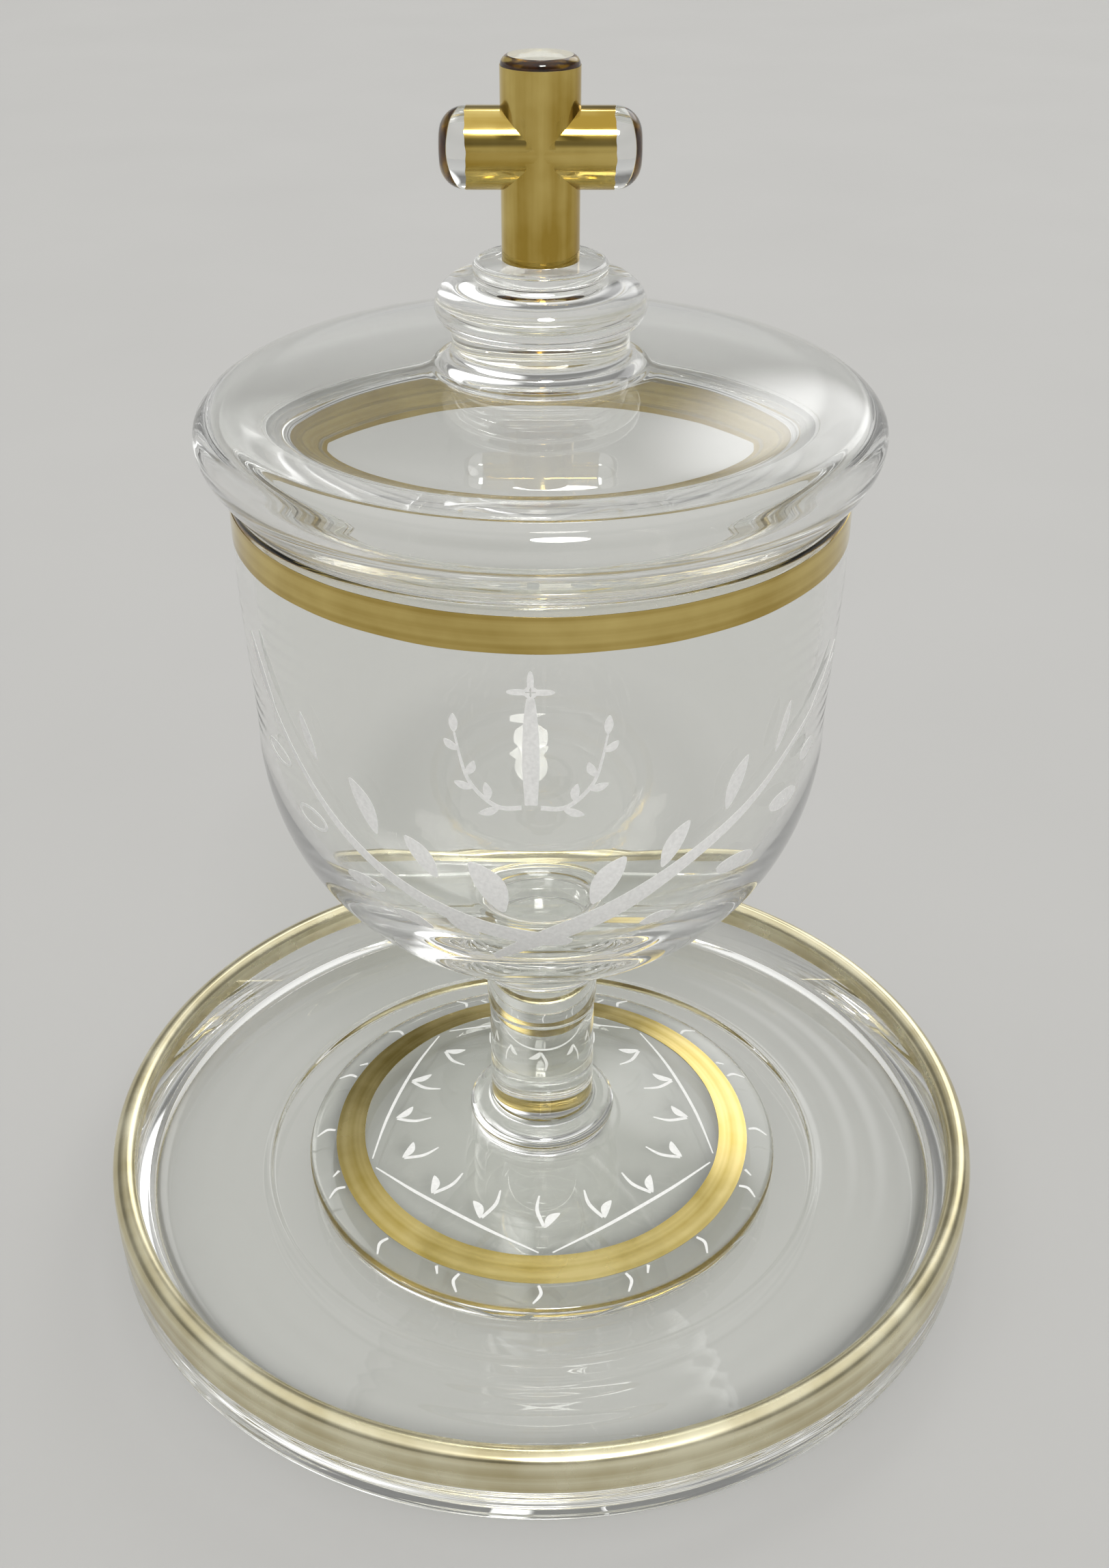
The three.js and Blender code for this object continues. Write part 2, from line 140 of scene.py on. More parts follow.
# Gilding lies in the glass by the first and stands proud of it by the second
GILT_INSIDE = 0.03
GILT_OUTSIDE = 0.06
RIM_GILT_END = 150  # degrees round the saucer's lip, from outside, at which its gilding ends
RIM_GILT_STEP = 0.6
GILT_OVERRUN = 1.0  # the core that hollows the cross's gilding runs past its ends by this

# Edges of the gilding: how far each is drawn in, how far it wavers, and where its waver starts
RIM_EDGE = (0.12, 0.1, 1.0)
RING_OUTER_EDGE = (0.08, 0.07, 2.0)
RING_INNER_EDGE = (0.08, 0.07, 5.0)
BAND_LOW_EDGE = (0.1, 0.09, 3.0)
BAND_HIGH_EDGE = (0.1, 0.07, 4.0)
ARM_EDGE = (0.12, 0.12, 2.0)
HAND_WAVES = ((3, 1.0), (8, 0.6), (19, 0.4))  # waves round a piece, and their share of a waver

# Engraving lies in the glass and stands proud of it in the same way
CUT_INSIDE = 0.03
CUT_OUTSIDE = 0.03
LEAF_BLUNTING = 0.02
LEAF_FULLNESS = 0.75
FOOT_LOBES = 5
FOOT_LOBE_STEPS = 8
FOOT_LOBE_START = 1  # degrees from the front
FOOT_LOBE_GAP = 0.03  # the share of its turn that a lobe leaves free at each end
FOOT_LOBE_DEPTH = 2.9
FOOT_LOBE_FULLNESS = 0.8
FOOT_LOBE_MARGIN = 0.35
FOOT_SPRIGS = 16


def span(node):
    """Lowest height, highest height and largest radius of a CAD node."""
    low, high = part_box(node)
    return low[2] / MM, high[2] / MM, high[0] / MM


def arc(radius, height, across, along, start, end, steps):
    """Points of an elliptical arc in the (radius, height) plane, angles in degrees."""
    points = []
    for step in range(steps + 1):
        angle = math.radians(start + (end - start) * step / steps)
        points.append((radius + across * math.cos(angle), height + along * math.sin(angle)))
    return points


def curve(start, start_handle, end_handle, end, steps):
    """Points of a cubic curve, its first point left out."""
    points = []
    for step in range(1, steps + 1):
        t = step / steps
        weights = ((1 - t) ** 3, 3 * t * (1 - t) ** 2, 3 * t * t * (1 - t), t ** 3)
        corners = (start, start_handle, end_handle, end)
        points.append(tuple(sum(w * c[axis] for w, c in zip(weights, corners)) for axis in (0, 1)))
    return points


def splay(radius, height, reach, rise):
    """A stem's concave foot, from the face that it spreads on up to its own radius."""
    return arc(radius + reach, height + rise, reach, rise, 270, 180, 12)


def supported(points):
    """Adds support loops beside the ends of long straight stretches, and steps along them."""
    path = [points[0]]
    for (r0, h0), (r1, h1) in zip(points, points[1:]):
        length = math.hypot(r1 - r0, h1 - h0)
        if length > LOOPED_LENGTH:
            pieces = math.ceil((length - 2 * LOOP_STEP) / LONG_STEP)
            middle = [LOOP_STEP + (length - 2 * LOOP_STEP) * k / pieces for k in range(pieces + 1)]
            path += [(r0 + (r1 - r0) * d / length, h0 + (h1 - h0) * d / length) for d in middle]
        path.append((r1, h1))
    return path


def body(name, vertices, faces):
    """A smooth-shaded mesh object that keeps its sharp corners."""
    mesh = bpy.data.meshes.new(name)
    mesh.from_pydata([tuple(c * MM for c in vertex) for vertex in vertices], [], faces)
    mesh.validate()
    mesh.shade_smooth()
    mesh.set_sharp_from_angle(angle=SHARP_ANGLE)
    thing = bpy.data.objects.new(name, mesh)
    bpy.context.scene.collection.objects.link(thing)
    return thing


def turned(name, profile, closed=False, bend=None):
    """Turns a profile about the upright axis. bend(radius, height, angle) may move each point."""
    vertices, rings = [], []
    for radius, height in profile:
        start = len(vertices)
        if radius < ON_AXIS:
            vertices.append((0.0, 0.0, height))
            rings.append([start] * TURNS)
            continue
        for turn in range(TURNS):
            angle = 2 * math.pi * turn / TURNS
            r, h = bend(radius, height, angle) if bend else (radius, height)
            vertices.append((r * math.cos(angle), r * math.sin(angle), h))
        rings.append(list(range(start, start + TURNS)))
    if closed:
        rings.append(rings[0])
    faces = []
    for lower, upper in zip(rings, rings[1:]):
        for turn in range(TURNS):
            after = (turn + 1) % TURNS
            corners = dict.fromkeys((lower[turn], lower[after], upper[after], upper[turn]))
            if len(corners) > 2:
                faces.append(tuple(corners))
    return body(name, vertices, faces)


def combine(target, tool, operation):
    """Applies a boolean to the target and removes the tool."""
    modifier = target.modifiers.new("combine", "BOOLEAN")
    modifier.operation = operation
    modifier.solver = "EXACT"
    modifier.object = tool
    graph = bpy.context.evaluated_depsgraph_get()
    mesh = bpy.data.meshes.new_from_object(target.evaluated_get(graph))
    target.modifiers.clear()
    target.data = mesh
    bpy.data.objects.remove(tool)
    work = bmesh.new()
    work.from_mesh(mesh)
    bmesh.ops.dissolve_degenerate(work, edges=work.edges, dist=SLIVER)
    work.to_mesh(mesh)
    work.free()
    mesh.shade_smooth()
    mesh.set_sharp_from_angle(angle=SHARP_ANGLE)
    return target


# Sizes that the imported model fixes
_, saucer_top, saucer_radius = span("saucer_dish")
foot_base, foot_top, foot_radius = span("goblet_foot")
_, collar_top, collar_radius = span("stem_collar")
_, stem_join, lower_stem_radius = span("lower_stem")
_, bowl_base, upper_stem_radius = span("upper_stem")
_, rim_height, rim_radius = span("goblet_bowl")
lid_bottom, lid_top, lid_radius = span("lid_shell")
_, knop_base, _ = span("lid_neck")
_, disc_base, knop_radius = span("lid_knop")
_, finial_base, disc_radius = span("lid_disc")
_, cross_top, bar_radius = span("cross_upright")
_, _, arm_reach = span("cross_arm_right")
rim_gilt_low, _, _ = span("saucer_gilt_rim")
band_low, band_high, _ = span("bowl_gilt_band")
gilt_cross_low, gilt_cross_high, gilt_arm_reach = span("cross_gilding")

lid_seat = lid_bottom + LID_FLANGE_DEPTH
cup_height = rim_height - BOWL_WALL_HEIGHT
cup_radius = rim_radius - BOWL_FLARE
inner_rim_radius = rim_radius - BOWL_WALL
foot_ring_outer = foot_radius - FOOT_RING_INSET
foot_ring_inner = foot_ring_outer - FOOT_RING_WIDTH
foot_ring_top = FOOT_RING_HEIGHT + FOOT_RING_WIDTH * FOOT_RING_SLOPE
arm_height = finial_base + ARM_HEIGHT


# Node helpers
def adder(tree):
    """Empties a node tree, and gives a function that adds a node with its settings and inputs."""
    tree.nodes.clear()

    def add(kind, inputs=None, **settings):
        node = tree.nodes.new(kind)
        for key, value in settings.items():
            setattr(node, key, value)
        for key, value in (inputs or {}).items():
            if isinstance(value, bpy.types.NodeSocket):
                tree.links.new(value, node.inputs[key])
            else:
                node.inputs[key].default_value = value
        return node

    return add


def material(name):
    """An empty node material and the function that adds its nodes."""
    made = bpy.data.materials.new(name)
    made.use_nodes = True
    return made, adder(made.node_tree)


def ramp(add, factor, stops):
    """A colour ramp over a factor; stops are (position, colour)."""
    node = add("ShaderNodeValToRGB", {"Fac": factor})
    elements = node.color_ramp.elements
    while len(elements) < len(stops):
        elements.new(0.5)
    for element, (position, colour) in zip(elements, stops):
        element.position = position
        element.color = (*colour, 1.0)
    return node.outputs["Color"]


def clear_glass(name, tint, wave):
    """Hand-worked clear glass: a faint tint and a slow waviness.

    Light on its way to what lies behind the glass goes straight through, a little dimmed.
    """
    made, add = material(name)
    place = add("ShaderNodeTexCoord").outputs["Object"]
    slow = add("ShaderNodeTexNoise", {"Vector": place, "Scale": 85.0, "Detail": 2.0})
    bump = add("ShaderNodeBump", {
        "Strength": wave, "Distance": 0.0002, "Height": slow.outputs["Fac"],
    })
    shader = add("ShaderNodeBsdfPrincipled", {
        "Base Color": (*tint, 1.0),
        "Roughness": 0.0,
        "IOR": 1.51,
        "Transmission Weight": 1.0,
        "Normal": bump.outputs["Normal"],
    })
    passing = add("ShaderNodeBsdfTransparent", {"Color": (0.97, 0.975, 0.965, 1.0)})
    path = add("ShaderNodeLightPath")
    surface = shader.outputs["BSDF"]
    for ray in ("Is Diffuse Ray", "Is Shadow Ray"):
        mixed = add("ShaderNodeMixShader", {
            0: path.outputs[ray], 1: surface, 2: passing.outputs["BSDF"],
        })
        surface = mixed.outputs["Shader"]
    add("ShaderNodeOutputMaterial", {"Surface": surface})
    return made


def round_axis(add, place):
    """Coordinates that stay the same all round the upright axis."""
    parts = add("ShaderNodeSeparateXYZ", {"Vector": place})
    x2 = add("ShaderNodeMath", {0: parts.outputs["X"], 1: 2.0}, operation="POWER")
    y2 = add("ShaderNodeMath", {0: parts.outputs["Y"], 1: 2.0}, operation="POWER")
    square = add("ShaderNodeMath", {0: x2.outputs[0], 1: y2.outputs[0]}, operation="ADD")
    radius = add("ShaderNodeMath", {0: square.outputs[0]}, operation="SQRT")
    joined = add("ShaderNodeCombineXYZ", {"X": radius.outputs[0], "Z": parts.outputs["Z"]})
    return joined.outputs["Vector"]


def along_bar(shares):
    """Coordinates that change slowly along one bar; shares are their scales along X, Y and Z."""
    def placed(add, place):
        scaled = add("ShaderNodeVectorMath", {0: place, 1: shares}, operation="MULTIPLY")
        return scaled.outputs["Vector"]

    return placed


def gilding(name, deep, pale, roughness, streaks, brushed=round_axis):
    """Fired gold: brush streaks one way, paler where it is rubbed thin."""
    made, add = material(name)
    place = add("ShaderNodeTexCoord").outputs["Object"]
    streak = add("ShaderNodeTexNoise", {
        "Vector": brushed(add, place), "Scale": streaks, "Detail": 3.0,
    })
    patch = add("ShaderNodeTexNoise", {"Vector": place, "Scale": 110.0, "Detail": 4.0})
    both = add("ShaderNodeMath", {
        0: streak.outputs["Fac"], 1: patch.outputs["Fac"],
    }, operation="ADD")
    mean = add("ShaderNodeMath", {0: both.outputs[0], 1: 0.5}, operation="MULTIPLY")
    colour = ramp(add, mean.outputs[0], [(0.38, deep), (0.62, pale)])
    rough = add("ShaderNodeMapRange", {
        "Value": patch.outputs["Fac"], "From Min": 0.3, "From Max": 0.7,
        "To Min": roughness * 0.7, "To Max": roughness * 1.5,
    })
    bump = add("ShaderNodeBump", {
        "Strength": 0.35, "Distance": 0.00006, "Height": streak.outputs["Fac"],
    })
    shader = add("ShaderNodeBsdfPrincipled", {
        "Base Color": colour,
        "Metallic": 1.0,
        "Roughness": rough.outputs["Result"],
        "Normal": bump.outputs["Normal"],
    })
    add("ShaderNodeOutputMaterial", {"Surface": shader.outputs["BSDF"]})
    return made


def frosting(name, colour, alpha):
    """Ground glass: a pale veil with a fine grain, through which 1 - alpha of the light passes."""
    made, add = material(name)
    place = add("ShaderNodeTexCoord").outputs["Object"]
    grain = add("ShaderNodeTexNoise", {"Vector": place, "Scale": 2600.0, "Detail": 3.0})
    bump = add("ShaderNodeBump", {
        "Strength": 0.35, "Distance": 0.00005, "Height": grain.outputs["Fac"],
    })
    darker = [0.88 * part for part in colour]
    shade = ramp(add, grain.outputs["Fac"], [(0.3, darker), (0.7, colour)])
    shader = add("ShaderNodeBsdfPrincipled", {
        "Base Color": shade,
        "Roughness": 0.7,
        "Alpha": alpha,
        "Normal": bump.outputs["Normal"],
    })
    add("ShaderNodeOutputMaterial", {"Surface": shader.outputs["BSDF"]})
    return made


glass = clear_glass("clear_glass", (0.965, 0.97, 0.955), 0.03)
rim_gold = gilding("rim_gold", (0.55, 0.47, 0.26), (0.88, 0.83, 0.61), 0.22, 900.0)
ring_gold = gilding("ring_gold", (0.46, 0.35, 0.09), (0.7, 0.58, 0.26), 0.2, 700.0)
band_gold = gilding("band_gold", (0.46, 0.33, 0.09), (0.7, 0.55, 0.2), 0.07, 900.0)
upright_gold = gilding("upright_gold", (0.42, 0.28, 0.05), (0.74, 0.58, 0.2), 0.12, 520.0,
                       along_bar((1.0, 1.0, 0.05)))
arm_gold = gilding("arm_gold", (0.42, 0.28, 0.05), (0.74, 0.58, 0.2), 0.12, 520.0,
                   along_bar((0.05, 1.0, 1.0)))
frost = frosting("frosted_engraving", (0.96, 0.96, 0.95), 0.9)
cut = frosting("cut_lines", (0.96, 0.96, 0.945), 0.9)
# Frosted finish for the cross's flat top; its pale cream is partly a painted highlight of the light
# from above
ground_top_highlight = frosting("ground_end_painted_highlight", (0.78, 0.77, 0.68), 0.7)


def finish_piece(piece, surface, rides_on, slot, *nodes):
    """Gives a piece its material and body, and hides the CAD nodes that it stands for. The slot
    argument is not used.
    """
    piece.data.materials.clear()
    piece.data.materials.append(surface)
    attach(piece, rides_on)
    if nodes:
        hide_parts(*nodes)


def second_finish(piece, surface, chosen):
    """Gives the faces for which chosen(face) holds a second material."""
    piece.data.materials.append(surface)
    for face in piece.data.polygons:
        face.material_index = 1 if chosen(face) else 0


# Saucer
def saucer_glass():
    """The dish: flat base, leaning wall, round lip, faint ripples and a beaded step to the well."""
    corner = SAUCER_CORNER
    corner_height = SAUCER_UNDERSIDE_RISE + corner
    lip = SAUCER_LIP / 2
    well_radius = foot_radius + SAUCER_WELL_CLEARANCE
    step_radius = well_radius + SAUCER_WELL_STEP
    handle = SAUCER_WELL_STEP / 5
    bead_radius = well_radius + SAUCER_WELL_STEP / 2
    bead_top = SAUCER_LEDGE + SAUCER_WELL_BEAD
    floor_radius = saucer_radius - SAUCER_WALL_FOOTING
    fillet = SAUCER_FILLET
    ripples = []
    for step in range(1, SAUCER_RIPPLE_STEPS):
        share = step / SAUCER_RIPPLE_STEPS
        swell = math.sin(math.pi * share) * math.sin(2 * math.pi * SAUCER_RIPPLES * share)
        radius = floor_radius + (step_radius - floor_radius) * share
        ripples.append((radius, SAUCER_LEDGE + SAUCER_RIPPLE_HEIGHT * swell))
    profile = [
        (0, 0),
        (SAUCER_BASE_RADIUS, 0),
        *arc(saucer_radius - corner, corner_height, corner, corner, -90, 0, 10),
        *arc(saucer_radius - lip, saucer_top - lip, lip, lip, 0, 180, 32),
        *arc(floor_radius, SAUCER_LEDGE + fillet, fillet, fillet, -SAUCER_WALL_LEAN, -90, 16),
        *ripples,
        (step_radius, SAUCER_LEDGE),
        *curve(
            (step_radius, SAUCER_LEDGE),
            (step_radius - handle, SAUCER_LEDGE),
            (bead_radius + handle, bead_top),
            (bead_radius, bead_top),
            8,
        ),
        *curve(
            (bead_radius, bead_top),
            (bead_radius - handle, bead_top),
            (well_radius + handle, SAUCER_FLOOR),
            (well_radius, SAUCER_FLOOR),
            12,
        ),
        (0, SAUCER_FLOOR),
    ]
    piece = turned("saucer_glass", supported(profile))
    finish_piece(piece, glass, "saucer", "clear_glass", "saucer_dish")


def drawn_in(angle, inset, waver, start):
    """How far an edge drawn by hand on a turning piece lies inside its true place."""
    waves = sum(share * math.sin(count * angle + number * start)
                for number, (count, share) in enumerate(HAND_WAVES, 1))
    return inset + waver * waves / sum(share for _, share in HAND_WAVES)


def saucer_gilding():
    """Gilding up the outside of the wall and over the lip."""
    lip = SAUCER_LIP / 2
    centre = (saucer_radius - lip, saucer_top - lip)

    def path(offset):
        side = [(saucer_radius + offset, rim_gilt_low + RIM_GILT_STEP * step) for step in range(6)]
        return side + arc(*centre, lip + offset, lip + offset, 0, RIM_GILT_END, 26)

    def waver(radius, height, angle):
        if height < rim_gilt_low + AT_EDGE:
            height += drawn_in(angle, *RIM_EDGE)
        return radius, height

    loop = path(GILT_OUTSIDE) + path(-GILT_INSIDE)[::-1]
    piece = turned("saucer_rim_gilding", loop, closed=True, bend=waver)
    finish_piece(piece, rim_gold, "saucer", "gilding", "saucer_gilt_rim")


# Goblet
def foot_surface(radius):
    """Height of the foot's upper side above its base, out to the outer edge of its ring."""
    neck_radius = FOOT_TOP_RADIUS + FOOT_TOP_SPLAY
    neck_height = foot_top - foot_base - FOOT_TOP_SPLAY_RISE
    edge = math.radians(FOOT_EDGE_TURN)
    edge_radius = foot_radius - FOOT_EDGE * (1 - math.cos(edge))
    edge_height = FOOT_EDGE_HEIGHT + FOOT_EDGE * math.sin(edge)
    knots = [
        (neck_radius, neck_height), (foot_ring_inner, foot_ring_top),
        (foot_ring_outer, FOOT_RING_HEIGHT), (edge_radius, edge_height),
    ]
    for (r0, h0), (r1, h1) in zip(knots, knots[1:]):
        if radius <= r1:
            return h0 + (h1 - h0) * (radius - r0) / (r1 - r0)
    return edge_height


def bowl_radius(height):
    """Outer radius of the bowl at a height."""
    if height < cup_height:
        return cup_radius * math.sqrt(1 - ((cup_height - height) / BOWL_CUP_DEPTH) ** 2)
    share = min((height - cup_height) / BOWL_FLARE_HEIGHT, 1)
    return cup_radius + BOWL_FLARE * share * share * (3 - 2 * share)


def goblet_glass():
    """Foot, collar, stem and bowl as one body, since they are fused."""
    def above_foot(points):
        return [(radius, foot_base + height) for radius, height in points]

    edge = FOOT_EDGE
    edge_radius = foot_radius - edge
    kick_radius = foot_radius - FOOT_STANDING_WIDTH
    splay_height = foot_top - foot_base - FOOT_TOP_SPLAY_RISE
    foot = above_foot([
        (0, FOOT_KICK_HEIGHT),
        *arc(0, 0, kick_radius, FOOT_KICK_HEIGHT, 90, 0, 24)[1:],
        *arc(edge_radius, edge, edge, edge, -90, 0, 12),
        *arc(edge_radius, FOOT_EDGE_HEIGHT, edge, edge, 0, FOOT_EDGE_TURN, 10),
        (foot_ring_outer, FOOT_RING_HEIGHT),
        (foot_ring_inner, foot_ring_top),
        *splay(FOOT_TOP_RADIUS, splay_height, FOOT_TOP_SPLAY, FOOT_TOP_SPLAY_RISE),
    ])
    collar_half = (collar_top - foot_top) / 2
    bulge = collar_radius - COLLAR_END_RADIUS
    collar = arc(COLLAR_END_RADIUS, foot_top + collar_half, bulge, collar_half, -90, 90, 28)
    lower_radius = lower_stem_radius - LOWER_STEM_SPLAY
    joint = STEM_JOINT
    stem = [
        *splay(lower_radius, collar_top, LOWER_STEM_SPLAY, LOWER_STEM_SPLAY_RISE),
        *arc(lower_radius - joint, stem_join - joint, joint, joint, 0, 60, 5),
        *arc(upper_stem_radius - joint, stem_join + joint, joint, joint, -60, 0, 6),
    ]
    fillet = BOWL_STEM_FILLET
    fillet_radius = upper_stem_radius + fillet
    start = math.degrees(math.asin(fillet_radius / cup_radius)) - 90
    rounding = BOWL_RIM_ROUNDING
    inner_radius = cup_radius - BOWL_WALL
    inner_depth = BOWL_CUP_DEPTH - BOWL_BOTTOM

    def wall(base, rim, steps=12):
        path = []
        for step in range(steps + 1):
            share = step / steps
            path.append((base + (rim - base) * share * share * (3 - 2 * share),
                         cup_height + BOWL_FLARE_HEIGHT * share))
        return path

    bowl = [
        *arc(fillet_radius, bowl_base + BOWL_STUB, fillet, fillet, 180, 90, 14),
        *arc(0, cup_height, cup_radius, BOWL_CUP_DEPTH, start, 0, 50)[1:-1],
        *wall(cup_radius, rim_radius),
        *arc(rim_radius - rounding, rim_height - rounding, rounding, rounding, 0, 90, 10),
        *arc(inner_rim_radius + rounding, rim_height - rounding, rounding, rounding, 90, 180, 10),
        *wall(inner_radius, inner_rim_radius)[::-1],
        *arc(0, cup_height, inner_radius, inner_depth, 0, -90, 56)[1:-1],
        (0, cup_height - inner_depth),
    ]
    piece = turned("goblet_glass", supported(foot + collar + stem + bowl))
    finish_piece(piece, glass, "goblet", "clear_glass",
                 "goblet_foot", "stem_collar", "lower_stem", "upper_stem", "goblet_bowl")


def foot_gilding():
    """The gilt ring on the foot."""
    def path(offset):
        steps = 8
        radii = [foot_ring_outer - FOOT_RING_WIDTH * step / steps for step in range(steps + 1)]
        return [(radius, foot_base + foot_surface(radius) + offset) for radius in radii]

    def waver(radius, height, angle):
        if radius > foot_ring_outer - AT_EDGE:
            radius -= drawn_in(angle, *RING_OUTER_EDGE)
        elif radius < foot_ring_inner + AT_EDGE:
            radius += drawn_in(angle, *RING_INNER_EDGE)
        return radius, height

    loop = path(GILT_OUTSIDE) + path(-GILT_INSIDE)[::-1]
    piece = turned("foot_ring_gilding", loop, closed=True, bend=waver)
    finish_piece(piece, ring_gold, "goblet", "gilding", "foot_gilt_ring")


def bowl_gilding():
    """The gilt band under the bowl's rim."""
    def path(offset):
        steps = 6
        heights = [band_low + (band_high - band_low) * step / steps for step in range(steps + 1)]
        return [(rim_radius + offset, height) for height in heights]

    def waver(radius, height, angle):
        if height < band_low + AT_EDGE:
            height += drawn_in(angle, *BAND_LOW_EDGE)
        elif height > band_high - AT_EDGE:
            height -= drawn_in(angle, *BAND_HIGH_EDGE)
        return radius, height

    loop = path(GILT_OUTSIDE) + path(-GILT_INSIDE)[::-1]
    piece = turned("bowl_band_gilding", loop, closed=True, bend=waver)
    finish_piece(piece, band_gold, "goblet", "gilding", "bowl_gilt_band")


# Lid
def lid_dome(wall, fold_steps, top_steps):
    """The dome from its widest ring to its flat top, moved in and down by a wall."""
    widest = lid_radius - wall
    shoulder_radius = lid_radius - LID_SHOULDER_INSET
    shoulder_height = lid_seat + LID_SHOULDER_HEIGHT - wall
    top_height = lid_top - wall
    start = (widest, lid_seat + LID_BULGE_HEIGHT)
    shoulder = (shoulder_radius, shoulder_height)
    return [
        start,
        *curve(
            start,
            (widest, start[1] + LID_BULGE_UPPER_HANDLE),
            (shoulder_radius + LID_SHOULDER_HANDLE, shoulder_height - LID_SHOULDER_FALL),
            shoulder,
            fold_steps,
        ),
        *curve(
            shoulder,
            (shoulder_radius - LID_SHOULDER_HANDLE, shoulder_height + LID_SHOULDER_FALL),
            (LID_TOP_RADIUS + LID_TOP_HANDLE, top_height - LID_TOP_FALL),
            (LID_TOP_RADIUS, top_height),
            top_steps,
        ),
    ]


def crossbar(name, radius, reach, rounding):
    """A round bar along X at the height of the cross's arms."""
    end = [(radius, reach)]
    if rounding:
        end = arc(radius - rounding, reach - rounding, rounding, rounding, 0, 90, 16)
    half = end + [(0, reach)]
    profile = [(r, -h) for r, h in half[::-1]] + half
    bar = turned(name, supported(profile))
    bar.data.transform(Matrix.Rotation(math.pi / 2, 4, "Y"))
    bar.data.transform(Matrix.Translation((0, 0, arm_height * MM)))
    return bar


def lid_glass():
    """Cover, neck, knop, disc and cross as one body, since they are fused."""
    lip_radius = rim_radius + LID_LIP_OVERHANG
    flange_outer = inner_rim_radius - LID_FLANGE_CLEARANCE
    flange_inner = flange_outer - LID_FLANGE
    bulge_foot = lid_seat + LID_BULGE_HEIGHT - LID_BULGE_LOWER_HANDLE
    inner_radius = lid_radius - LID_WALL
    lip = LID_LIP_ROUNDING
    end = LID_FLANGE_ROUNDING
    equator = knop_base + KNOP_EQUATOR
    disc = DISC_ROUNDING
    top = UPRIGHT_ROUNDING
    knop_flat = knop_radius - KNOP_SHOULDER
    profile = [
        (0, lid_top - LID_WALL),
        *lid_dome(LID_WALL, 24, 18)[::-1],
        *curve(
            (inner_radius, lid_seat + LID_BULGE_HEIGHT),
            (inner_radius, bulge_foot),
            (flange_inner + LID_SEAT, lid_seat + LID_SEAT),
            (flange_inner, lid_seat + LID_SEAT / 2),
            22,
        ),
        *arc(flange_inner + end, lid_bottom + end, end, end, 180, 270, 8),
        *arc(flange_outer - end, lid_bottom + end, end, end, 270, 360, 8),
        (flange_outer, lid_seat),
        *arc(lip_radius - lip, lid_seat + lip, lip, lip, -90, 0, 10),
        *curve(
            (lip_radius, lid_seat + lip),
            (lip_radius + LID_LIP_LEAN, lid_seat + lip + LID_LIP_HANDLE),
            (lid_radius, bulge_foot),
            (lid_radius, lid_seat + LID_BULGE_HEIGHT),
            24,
        ),
        *lid_dome(0, 30, 18)[1:],
        *splay(NECK_RADIUS, lid_top, NECK_SPLAY, NECK_SPLAY),
        *arc(NECK_RADIUS, equator, knop_radius - NECK_RADIUS, KNOP_EQUATOR, -90, 0, 14),
        *arc(knop_flat, equator, KNOP_SHOULDER, disc_base - equator, 0, 90, 24)[1:],
        *arc(disc_radius - disc, disc_base + disc, disc, disc, -90, 0, 8),
        *arc(disc_radius - disc, finial_base - disc, disc, disc, 0, 90, 8),
        (bar_radius, finial_base),
        *arc(bar_radius - top, cross_top - top, top, top, 0, 90, 12),
        (0, cross_top),
    ]
    piece = turned("lid_glass", supported(profile))
    arms = crossbar("arms", bar_radius - ARM_SADDLE, arm_reach, ARM_ROUNDING)
    combine(piece, arms, "UNION")
    finish_piece(piece, glass, "lid", "clear_glass",
                 "lid_shell", "lid_neck", "lid_knop", "lid_disc",
                 "cross_upright", "cross_arm_right", "cross_arm_left")
    # Only the upright's level top face gets this finish: a frosted end whose pale cream is partly a
    # painted highlight
    near_top = (cross_top - UPRIGHT_ROUNDING / 4) * MM
    second_finish(piece, ground_top_highlight, lambda face: face.center.z > near_top and face.normal.z > LEVEL)


def cross_gilding():
    """Gilding round both bars of the cross, open at their clear ends."""
    def sleeve(name, radius, overrun):
        low, high = gilt_cross_low - overrun, gilt_cross_high + overrun
        upright = turned(name, supported([(0, low), (radius, low), (radius, high), (0, high)]))
        arms = crossbar("arms", radius - ARM_SADDLE, gilt_arm_reach + overrun, 0)
        return combine(upright, arms, "UNION")

    piece = sleeve("finial_gilding", bar_radius + GILT_OUTSIDE, 0)
    combine(piece, sleeve("core", bar_radius - GILT_INSIDE, GILT_OVERRUN), "DIFFERENCE")
    root = bar_radius + 2 * GILT_OUTSIDE
    inset, waver, start = ARM_EDGE
    for vertex in piece.data.vertices:
        share = (abs(vertex.co.x) / MM - root) / (gilt_arm_reach - root)
        if share > 0:
            around = math.atan2(vertex.co.z / MM - arm_height, vertex.co.y / MM)
            shift = drawn_in(around, inset, waver, math.copysign(start, vertex.co.x))
            vertex.co.x -= math.copysign(shift, vertex.co.x) * share * MM
    finish_piece(piece, upright_gold, "lid", "gilding", "cross_gilding")
    second_finish(piece, arm_gold, lambda face: face.center.xy.length / MM > root)


